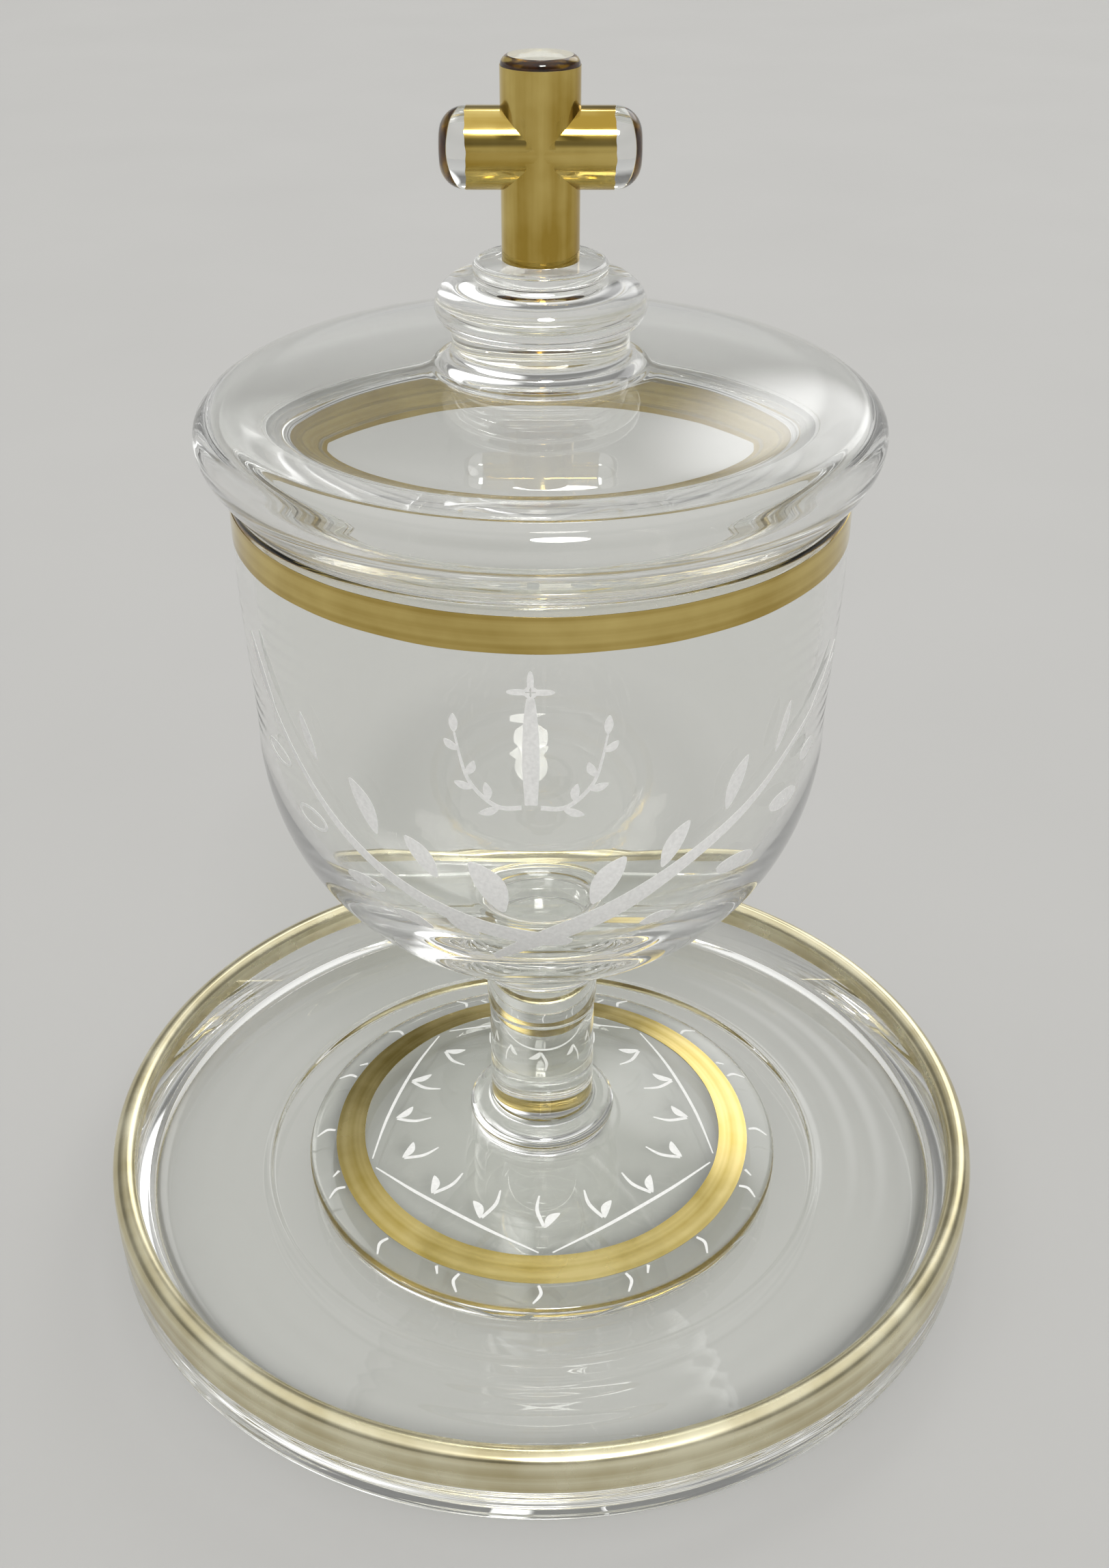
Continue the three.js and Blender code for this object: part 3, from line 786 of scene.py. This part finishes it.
# Engraving
class Engraving:
    """Thin closed strips laid on a surface.

    place(x, y, lift) gives a point on the surface, raised by lift.
    """

    ACROSS = 6

    def __init__(self, place):
        self.place = place
        self.vertices = []
        self.faces = []

    def strip(self, rows, closed=False):
        """rows are lists of (x, y) across the strip, one list for each step along it."""
        across = len(rows[0])
        start = len(self.vertices)
        for lift in (CUT_OUTSIDE, -CUT_INSIDE):
            for row in rows:
                self.vertices += [self.place(x, y, lift) for x, y in row]
        count = len(rows)
        under = count * across

        def at(row, column, side=0):
            return start + side * under + (row % count) * across + column

        last = count if closed else count - 1
        for row in range(last):
            for column in range(across - 1):
                corners = [(row, column), (row + 1, column),
                           (row + 1, column + 1), (row, column + 1)]
                self.faces.append([at(*corner) for corner in corners])
                self.faces.append([at(*corner, 1) for corner in corners[::-1]])
            for column, turn in ((0, 1), (across - 1, -1)):
                wall = [at(row, column), at(row, column, 1),
                        at(row + 1, column, 1), at(row + 1, column)]
                self.faces.append(wall[::turn])
        if not closed:
            for row, turn in ((0, -1), (count - 1, 1)):
                for column in range(across - 1):
                    wall = [at(row, column), at(row, column, 1),
                            at(row, column + 1, 1), at(row, column + 1)]
                    self.faces.append(wall[::turn])

    def across(self, x, y, nx, ny, half):
        """A row of points across a strip, half its width to each side of its middle line."""
        sides = [half * (2 * k / self.ACROSS - 1) for k in range(self.ACROSS + 1)]
        return [(x + nx * side, y + ny * side) for side in sides]

    def stroke(self, points, widths, steps):
        """A line through a few points, as wide along its way as widths say."""
        path = [spline(points, step / steps) for step in range(steps + 1)]
        rows = []
        for step, (x, y) in enumerate(path):
            before, after = path[max(step - 1, 0)], path[min(step + 1, steps)]
            along = math.hypot(after[0] - before[0], after[1] - before[1])
            nx, ny = (before[1] - after[1]) / along, (after[0] - before[0]) / along
            half = spline([(w, 0) for w in widths], step / steps)[0] / 2
            rows.append(self.across(x, y, nx, ny, half))
        self.strip(rows)

    def leaf(self, base, tip, width, bend=0.0, steps=18):
        """A pointed leaf from base to tip, bowed sideways by bend times its length."""
        dx, dy = tip[0] - base[0], tip[1] - base[1]
        length = math.hypot(dx, dy)
        nx, ny = -dy / length, dx / length
        rows = []
        for step in range(steps + 1):
            share = LEAF_BLUNTING + (1 - 2 * LEAF_BLUNTING) * step / steps
            half = width / 2 * math.sin(math.pi * share) ** LEAF_FULLNESS
            bow = bend * length * math.sin(math.pi * share)
            x = base[0] + dx * share + nx * bow
            y = base[1] + dy * share + ny * bow
            rows.append(self.across(x, y, nx, ny, half))
        self.strip(rows)

    def ring(self, centre, size, tilt, hole, hole_centre=(0.0, 0.0), steps=40):
        """An oval of a size; hole gives its hole's two radii, and hole_centre the hole's place."""
        rows = []
        cos, sin = math.cos(math.radians(tilt)), math.sin(math.radians(tilt))
        for step in range(steps):
            angle = 2 * math.pi * step / steps
            outer = (size[0] / 2 * math.cos(angle), size[1] / 2 * math.sin(angle))
            inner = (hole_centre[0] + hole[0] * math.cos(angle),
                     hole_centre[1] + hole[1] * math.sin(angle))
            row = []
            for k in range(self.ACROSS + 1):
                share = k / self.ACROSS
                x = inner[0] + (outer[0] - inner[0]) * share
                y = inner[1] + (outer[1] - inner[1]) * share
                row.append((centre[0] + x * cos - y * sin, centre[1] + x * sin + y * cos))
            rows.append(row)
        self.strip(rows, closed=True)

    def star(self, centre, inner, outer, steps=96):
        """A four-armed star with a star-shaped hollow; inner and outer give radii for an angle."""
        rows = []
        for step in range(steps):
            angle = 2 * math.pi * step / steps
            near, far = inner(angle), outer(angle)
            cos, sin = math.cos(angle), math.sin(angle)
            radii = [near + (far - near) * k / self.ACROSS for k in range(self.ACROSS + 1)]
            rows.append([(centre[0] + radius * cos, centre[1] + radius * sin) for radius in radii])
        self.strip(rows, closed=True)

    def make(self, name):
        """One object of all the strips."""
        return body(name, self.vertices, self.faces)


def spline(points, share):
    """A point on the smooth curve through a few points, share from 0 to 1."""
    stretches = len(points) - 1
    at = min(int(share * stretches), stretches - 1)
    t = share * stretches - at
    p0, p1, p2, p3 = (points[min(max(k, 0), stretches)] for k in range(at - 1, at + 3))
    return tuple(
        0.5 * (2 * b + (c - a) * t + (2 * a - 5 * b + 4 * c - d) * t * t
               + (3 * b - a - 3 * c + d) * t ** 3)
        for a, b, c, d in zip(p0, p1, p2, p3)
    )


def on_bowl(x, height, lift):
    """x is measured round the bowl from the front, along its widest ring."""
    angle = x / cup_radius
    step = 0.05
    slope = (bowl_radius(height + step) - bowl_radius(height - step)) / (2 * step)
    steep = math.hypot(1, slope)
    radius = bowl_radius(height) + lift / steep
    return radius * math.sin(angle), -radius * math.cos(angle), height - lift * slope / steep


def on_foot(x, y, lift):
    """x and y are seen from above, with the front at -y."""
    return x, y, foot_base + foot_surface(math.hypot(x, y)) + lift


def degrees_round(angle, height):
    """A place on the bowl from its angle to the front, in degrees, and its height."""
    return math.radians(angle) * cup_radius, height


def wreath():
    """Two olive branches that cross under the front of the bowl.

    Each place is its degrees from the front and its height.
    """
    work = Engraving(on_bowl)

    def at(*places):
        return [degrees_round(*place) for place in places]

    left = at((-64, 81.5), (-53.5, 74.6), (-41.8, 68.9), (-26.8, 63.7),
              (-12, 60.1), (2, 58.3), (6, 58.1))
    right = at((69, 79.2), (55, 75.2), (42.1, 70.9), (27.3, 66.8),
               (13, 62.3), (0, 58.6), (-10, 54.9))
    work.stroke(left, (0.35, 0.7, 0.95, 1.4, 2.0, 1.9, 0.6), 60)
    work.stroke(right, (0.35, 0.7, 1.0, 1.5, 2.3, 2.2, 0.9), 60)
    # Base, tip, width and bend
    leaves = [
        ((-45.0, 75.1), (-48.6, 80.0), 1.25, 0.04),
        ((-31.3, 69.2), (-36.9, 75.0), 2.0, -0.05),
        ((-19.2, 65.9), (-25.6, 70.2), 1.95, -0.05),
        ((-6.9, 62.4), (-13.2, 68.6), 2.9, -0.08),
        ((47.8, 75.2), (51.0, 80.6), 1.25, -0.03),
        ((35.7, 71.2), (40.0, 76.9), 1.9, 0.04),
        ((22.2, 66.7), (27.7, 71.6), 1.95, 0.05),
        ((9.2, 63.4), (15.3, 69.0), 2.6, 0.06),
        ((-57.9, 77.4), (-66.2, 84.8), 1.5, 0.03),
        ((60.2, 76.9), (73.4, 80.2), 1.15, 0.06),
        ((61.5, 77.4), (72.0, 82.2), 0.95, -0.04),
        ((19.2, 59.4), (27.0, 59.9), 1.6, 0.05),
        ((-21.8, 58.3), (-30.4, 59.6), 1.6, -0.05),
        ((-12.2, 58.5), (-19.2, 61.9), 1.9, 0.03),
    ]
    for base, tip, width, bend in leaves:
        work.leaf(degrees_round(*base), degrees_round(*tip), width, bend)
    # Place, size, tilt and the hole's radii
    olives = [
        ((61.2, 72.2), (3.6, 2.0), 8, (0.12, 0.08)),
        ((52.6, 68.5), (5.2, 2.1), -3, (0.1, 0.06)),
        ((39.6, 64.0), (5.3, 2.1), -2, (0.1, 0.06)),
        ((-59.4, 72.4), (5.2, 2.0), -6, (2.3, 0.75)),
        ((-48.4, 67.4), (4.8, 2.4), -5, (2.0, 0.85)),
    ]
    for place, size, tilt, hole in olives:
        work.ring(degrees_round(*place), size, tilt, hole)
    work.ring(degrees_round(-35.7, 62.4), (5.0, 1.8), -4, (0.42, 0.38), (1.0, 0.1))
    piece = work.make("wreath_engraving")
    finish_piece(piece, frost, "goblet", "clear_glass")


def bowl_cross():
    """A small cross with pointed arms on a long shaft, between two sprigs."""
    work = Engraving(on_bowl)
    middle, centre = degrees_round(-1.8, 88.0)
    leaf_width, leaf_bend, leaf_turn = 0.85, 0.06, 0.75
    leaf_length, shortening = 2.5, 0.9
    # Places of the leaves as shares of the stem, and whether each grows on the inner side
    leaves = ((0.28, False), (0.42, True), (0.58, False), (0.7, True), (0.86, False))

    def hollow(angle):
        return 0.1 + 0.4 * abs(math.cos(2 * angle)) ** 4

    def arms(angle):
        return 0.62 + 1.55 * abs(math.cos(2 * angle)) ** 7

    work.star((middle, centre), hollow, arms)
    shaft = [(middle, height) for height in (centre - 0.7, 85.2, 80.5, 75.6)]
    work.stroke(shaft, (0.75, 1.25, 1.6, 1.2), 24)
    for side in (-1, 1):
        stem = [
            (middle + side * 0.9, 75.3), (middle + side * 3.4, 75.4),
            (middle + side * 5.9, 78.2), (middle + side * 7.0, 83.2),
        ]
        work.stroke(stem, (0.5, 0.45, 0.35, 0.2), 24)
        for share, inward in leaves:
            x, y = spline(stem, share)
            ahead = spline(stem, share + 0.04)
            growth = side if inward else -side
            heading = math.atan2(ahead[1] - y, ahead[0] - x) + growth * leaf_turn
            length = leaf_length - shortening * share
            tip = (x + length * math.cos(heading), y + length * math.sin(heading))
            work.leaf((x, y), tip, leaf_width, growth * leaf_bend)
        work.leaf(stem[-1], (stem[-1][0] + side * 0.1, stem[-1][1] + 2.1), leaf_width)
    piece = work.make("cross_engraving")
    finish_piece(piece, frost, "goblet", "clear_glass")


def foot_engraving():
    """A festooned line, and sprigs round the foot whose stalks run out past the gilt ring."""
    work = Engraving(on_foot)

    def at(radius, angle):
        turn = math.radians(angle)
        return radius * math.sin(turn), -radius * math.cos(turn)

    def beside(angle, side, places):
        """Places by their radius, and their degrees from an angle toward one side."""
        return [at(radius, angle + side * degrees) for radius, degrees in places]

    lobe_angle = 360 / FOOT_LOBES
    for lobe in range(FOOT_LOBES):
        line = []
        for step in range(FOOT_LOBE_STEPS + 1):
            share = step / FOOT_LOBE_STEPS
            drop = FOOT_LOBE_DEPTH * math.sin(math.pi * share) ** FOOT_LOBE_FULLNESS
            turn = lobe + FOOT_LOBE_GAP + (1 - 2 * FOOT_LOBE_GAP) * share
            angle = FOOT_LOBE_START + lobe_angle * turn
            line.append(at(foot_ring_inner - FOOT_LOBE_MARGIN - drop, angle))
        work.stroke(line, (0.18, 0.38, 0.42, 0.38, 0.18), 36)
    stalk = ((14.3, -1.5), (16.4, -2.2), (18.7, 0.6))
    leaf = ((18.9, 1.0), (16.9, 7.4))
    edge = foot_ring_outer
    tick = ((edge + 0.2, -1.0), (edge + 1.3, -0.4), (foot_radius - 0.9, -2.2))
    short_tick = ((edge + 0.2, 5.5), (edge + 1.1, 4.2))
    for sprig in range(FOOT_SPRIGS):
        angle = 360 * sprig / FOOT_SPRIGS
        side = 1 if angle < 180 else -1
        work.stroke(beside(angle, side, stalk), (0.2, 0.45, 0.42), 14)
        work.leaf(*beside(angle, side, leaf), 1.05, side * 0.12, 12)
        work.stroke(beside(angle, side, tick), (0.3, 0.4, 0.2), 12)
        if sprig % 2:
            work.stroke(beside(angle, side, short_tick), (0.4, 0.2), 8)
    piece = work.make("foot_engraving")
    finish_piece(piece, cut, "goblet", "clear_glass")


# Studio
FLOOR_SIZE = 12000.0
FLOOR_DROP = 0.02
FLOOR_COLOURS = ((0.48, 0.477, 0.468), (0.492, 0.489, 0.48))
LIGHT_BOUNCES = 40

# The sun: its strength, its direction and its width across the sky in degrees. Azimuth is measured
# from the front toward the right.
SUN_STRENGTH = 1.6
SUN_AZIMUTH = 8
SUN_ELEVATION = 54
SUN_WIDTH = 15
SUN_COLOUR = (1.0, 0.985, 0.96)

# A small soft panel behind the object that the glass mirrors, in metres and watts
PANEL_PLACE = (0.02, 0.62, 0.84)
PANEL_AIM = (0, -0.03, 0)
PANEL_SIZE = (0.12, 0.06)
PANEL_WATTS = 0.16

# Brightness of the sky by the upward part of a direction, and a round window in it
SKY_BANDS = ((0.0, 0.52), (0.18, 0.6), (0.34, 0.2), (0.56, 0.24), (0.84, 1.0))
SKY_WARMTH = 0.985
SKY_WINDOW_AIM = (0.41, 0.78, 0.47)
SKY_WINDOW_RADIUS = 15
SKY_WINDOW_EDGE = 5
SKY_WINDOW_LIGHT = 2.0


def floor():
    """A wide pale sheet under the object."""
    half = FLOOR_SIZE / 2
    outline = ((-half, -half), (half, -half), (half, half), (-half, half))
    sheet = body("floor", [(x, y, -FLOOR_DROP) for x, y in outline], [(0, 1, 2, 3)])
    made, add = material("floor_paper")
    place = add("ShaderNodeTexCoord").outputs["Object"]
    fibre = add("ShaderNodeTexNoise", {"Vector": place, "Scale": 14.0, "Detail": 3.0})
    deep, pale = FLOOR_COLOURS
    colour = ramp(add, fibre.outputs["Fac"], [(0.3, deep), (0.7, pale)])
    shader = add("ShaderNodeBsdfPrincipled", {"Base Color": colour, "Roughness": 0.85})
    add("ShaderNodeOutputMaterial", {"Surface": shader.outputs["BSDF"]})
    sheet.data.materials.append(made)


def sun():
    """The main light, wide and high before the object."""
    light = bpy.data.lights.new("key", "SUN")
    light.energy = SUN_STRENGTH
    light.angle = math.radians(SUN_WIDTH)
    light.color = SUN_COLOUR
    key = bpy.data.objects.new("key", light)
    bpy.context.scene.collection.objects.link(key)
    turn, lift = math.radians(SUN_AZIMUTH), math.radians(SUN_ELEVATION)
    toward = Vector((
        math.sin(turn) * math.cos(lift), -math.cos(turn) * math.cos(lift), math.sin(lift),
    ))
    key.rotation_euler = toward.to_track_quat("Z", "Y").to_euler()


def back_light():
    """The panel behind the object."""
    light = bpy.data.lights.new("back_light", "AREA")
    light.shape = "ELLIPSE"
    light.size, light.size_y = PANEL_SIZE
    light.energy = PANEL_WATTS
    panel = bpy.data.objects.new("back_light", light)
    bpy.context.scene.collection.objects.link(panel)
    panel.location = PANEL_PLACE
    facing = Vector(PANEL_AIM) - Vector(PANEL_PLACE)
    panel.rotation_euler = facing.to_track_quat("-Z", "Y").to_euler()


def sky():
    """A studio round the object: pale at the horizon, dim above it, and a bright ceiling."""
    world = bpy.data.worlds.new("studio")
    bpy.context.scene.world = world
    world.use_nodes = True
    add = adder(world.node_tree)
    toward = add("ShaderNodeTexCoord").outputs["Generated"]
    parts = add("ShaderNodeSeparateXYZ", {"Vector": toward})
    stops = [(height, (grey, grey, grey * SKY_WARMTH)) for height, grey in SKY_BANDS]
    bands = ramp(add, parts.outputs["Z"], stops)
    aim = Vector(SKY_WINDOW_AIM).normalized()
    nearness = add("ShaderNodeVectorMath", {0: toward, 1: aim}, operation="DOT_PRODUCT")
    glow = add("ShaderNodeMapRange", {
        "Value": nearness.outputs["Value"],
        "From Min": math.cos(math.radians(SKY_WINDOW_RADIUS + SKY_WINDOW_EDGE)),
        "From Max": math.cos(math.radians(SKY_WINDOW_RADIUS - SKY_WINDOW_EDGE)),
        "To Max": SKY_WINDOW_LIGHT,
    }, interpolation_type="SMOOTHSTEP")
    both = add("ShaderNodeMix", {
        "Factor": 1.0, 6: bands, 7: glow.outputs["Result"],
    }, data_type="RGBA", blend_type="ADD")
    background = add("ShaderNodeBackground", {"Color": both.outputs[2]})
    add("ShaderNodeOutputWorld", {"Surface": background.outputs["Background"]})


# Camera: where it stands before the object, its height, how far it looks down, turns and rolls
CAMERA_DISTANCE = 171.7
CAMERA_HEIGHT = 165.5
CAMERA_PITCH = 31.92
CAMERA_YAW = 0.49
CAMERA_ROLL = 0.16
CAMERA_LENS = 40.77
CAMERA_SENSOR = 36.0
CAMERA_SIGHT = (0.01, 50.0)  # metres: the nearest and the farthest that it sees


def camera():
    """The camera stands before the object and looks down at it, as in the photograph."""
    data = bpy.data.cameras.new("camera")
    data.sensor_fit = "VERTICAL"
    data.sensor_height = CAMERA_SENSOR
    data.lens = CAMERA_LENS
    data.clip_start, data.clip_end = CAMERA_SIGHT
    viewer = bpy.data.objects.new("camera", data)
    bpy.context.scene.collection.objects.link(viewer)
    pitch = math.radians(90 - CAMERA_PITCH)
    turn = Matrix.Rotation(-math.radians(CAMERA_YAW), 4, "Z")
    tilt = Matrix.Rotation(pitch, 4, "X")
    roll = Matrix.Rotation(math.radians(CAMERA_ROLL), 4, "Z")
    place = Matrix.Translation((0, -CAMERA_DISTANCE * MM, CAMERA_HEIGHT * MM))
    viewer.matrix_world = place @ turn @ tilt @ roll
    bpy.context.scene.camera = viewer


saucer_glass()
saucer_gilding()
goblet_glass()
foot_gilding()
bowl_gilding()
lid_glass()
cross_gilding()
wreath()
bowl_cross()
foot_engraving()

floor()
sky()
sun()
back_light()
camera()

scene = bpy.context.scene
scene.view_settings.view_transform = "Standard"
scene.cycles.max_bounces = LIGHT_BOUNCES
scene.cycles.glossy_bounces = LIGHT_BOUNCES
scene.cycles.transmission_bounces = LIGHT_BOUNCES
scene.cycles.transparent_max_bounces = LIGHT_BOUNCES
scene.cycles.caustics_reflective = False
scene.cycles.caustics_refractive = False
